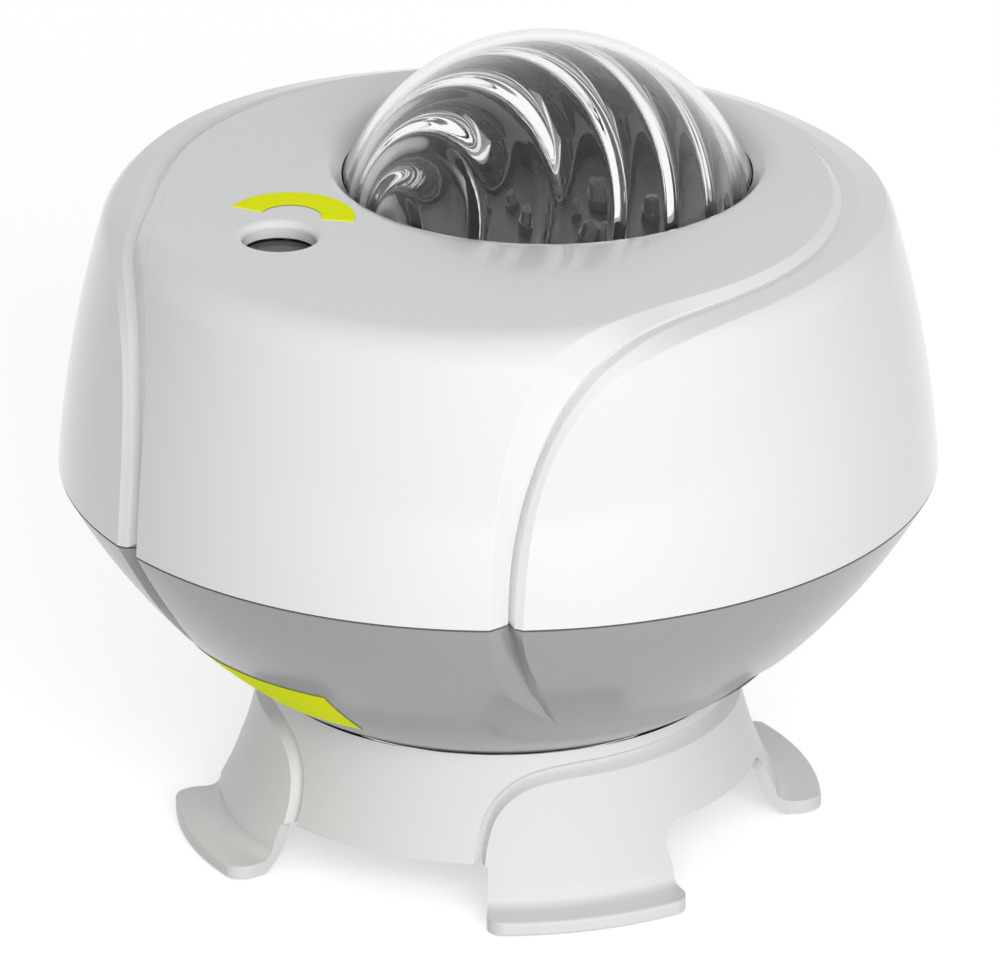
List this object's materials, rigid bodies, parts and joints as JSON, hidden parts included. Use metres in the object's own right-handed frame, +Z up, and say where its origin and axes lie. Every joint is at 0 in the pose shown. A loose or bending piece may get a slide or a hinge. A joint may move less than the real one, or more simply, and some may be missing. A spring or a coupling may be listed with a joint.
{
  "type": "star projector",
  "caption": "Round tabletop star projector: clear dome with swirl ribs over a turning gear drive, laser aperture, groove-wrapped shells, rocking in a four-footed cradle stand.",
  "frame": {"origin": "on the body's upright axis, on the surface that the stand's pads rest on", "axes": "+Z up; -Y to the front, where the stand's tongue is; +X to the side with the port recess"},
  "size_m": [0.165, 0.1646, 0.1483],
  "materials": {
    "aluminium": "machined",
    "board": "green circuit board",
    "brass": "turned",
    "button": "moulded, satin white",
    "clear": "clear, polished",
    "frame_plastic": "moulded, black",
    "gear_plastic": "moulded, natural",
    "grey_gloss": "moulded, glossy light grey",
    "led": "clear resin, warm tint",
    "magnet": "black ferrite",
    "paper": "black paper cone",
    "rubber": "soft, dark grey",
    "stand_white": "moulded, glossy white",
    "steel": "plain",
    "white_gloss": "moulded, glossy white"
  },
  "bodies": {
    "stand": {"stand": "stand_white", "stand_pad_1": "rubber", "stand_pad_2": "rubber", "stand_pad_3": "rubber", "stand_pad_4": "rubber"},
    "seat": {"seat_ring": "rubber"},
    "dome": {"swirl_dome": "clear", "dome_ring_gear": "gear_plastic"},
    "pinion": {"drive_pinion": "gear_plastic"},
    "star": {"star_disc": "clear"},
    "button_1": {"button_1": "button"},
    "button_2": {"button_2": "button"},
    "button_3": {"button_3": "button"},
    "button_4": {"button_4": "button"},
    "projector": {"board_screw_1": "steel", "board_screw_2": "steel", "board_screw_3": "steel", "dome_cover": "clear", "frame_screw_1": "steel", "frame_screw_2": "steel", "frame_screw_3": "steel", "frame_screw_4": "steel", "gear_motor": "steel", "heat_sink": "aluminium", "inlet_board": "board", "inlet_screw_1": "steel", "inlet_screw_2": "steel", "laser_holder": "aluminium", "laser_module": "brass", "laser_window": "clear", "led_1": "led", "led_2": "led", "led_3": "led", "led_4": "led", "led_board": "board", "light_frame": "frame_plastic", "lower_shell": "grey_gloss", "main_board": "board", "power_inlet": "steel", "shell_screw_1": "steel", "shell_screw_2": "steel", "shell_screw_3": "steel", "shell_screw_4": "steel", "speaker_basket": "steel", "speaker_cone": "paper", "speaker_magnet": "magnet", "strip_screw_1": "steel", "strip_screw_2": "steel", "switch_strip": "board", "upper_shell": "white_gloss"}
  },
  "joints": [
    {"name": "swivel", "type": "hinge", "parent": "stand", "child": "seat", "pos_m": [0, 0, 0.026], "axis": [0, 0, 1], "continuous": true},
    {"name": "tilt", "type": "hinge", "parent": "seat", "child": "projector", "pos_m": [0, 0, 0.106], "axis": [1, 0, 0], "range_deg": [-14, 14]},
    {"name": "dome_spin", "type": "hinge", "parent": "projector", "child": "dome", "pos_m": [0, 0.0195, 0.1097], "axis": [0, 0, 1], "continuous": true},
    {"name": "pinion_spin", "type": "hinge", "parent": "projector", "child": "pinion", "pos_m": [-0.01821, -0.02504, 0.1097], "axis": [0, 0, 1], "continuous": true},
    {"name": "star_spin", "type": "hinge", "parent": "projector", "child": "star", "pos_m": [-0.026, -0.038, 0.1097], "axis": [0, 0, 1], "continuous": true},
    {"name": "button_1_press", "type": "slide", "parent": "projector", "child": "button_1", "axis": [-0.2175, -0.7721, 0.5972], "range_m": [0, 0.0006], "stiffness_N_per_m": 900, "springref_m": -0.0006},
    {"name": "button_2_press", "type": "slide", "parent": "projector", "child": "button_2", "axis": [-0.0733, -0.7988, 0.5972], "range_m": [0, 0.0006], "stiffness_N_per_m": 900, "springref_m": -0.0006},
    {"name": "button_3_press", "type": "slide", "parent": "projector", "child": "button_3", "axis": [0.0733, -0.7988, 0.5972], "range_m": [0, 0.0006], "stiffness_N_per_m": 900, "springref_m": -0.0006},
    {"name": "button_4_press", "type": "slide", "parent": "projector", "child": "button_4", "axis": [0.2175, -0.7721, 0.5972], "range_m": [0, 0.0006], "stiffness_N_per_m": 900, "springref_m": -0.0006}
  ],
  "couplings": [
    {"joint": "pinion_spin", "follows": "dome_spin", "ratio": -7},
    {"joint": "star_spin", "follows": "dome_spin", "ratio": 4.6667}
  ]
}
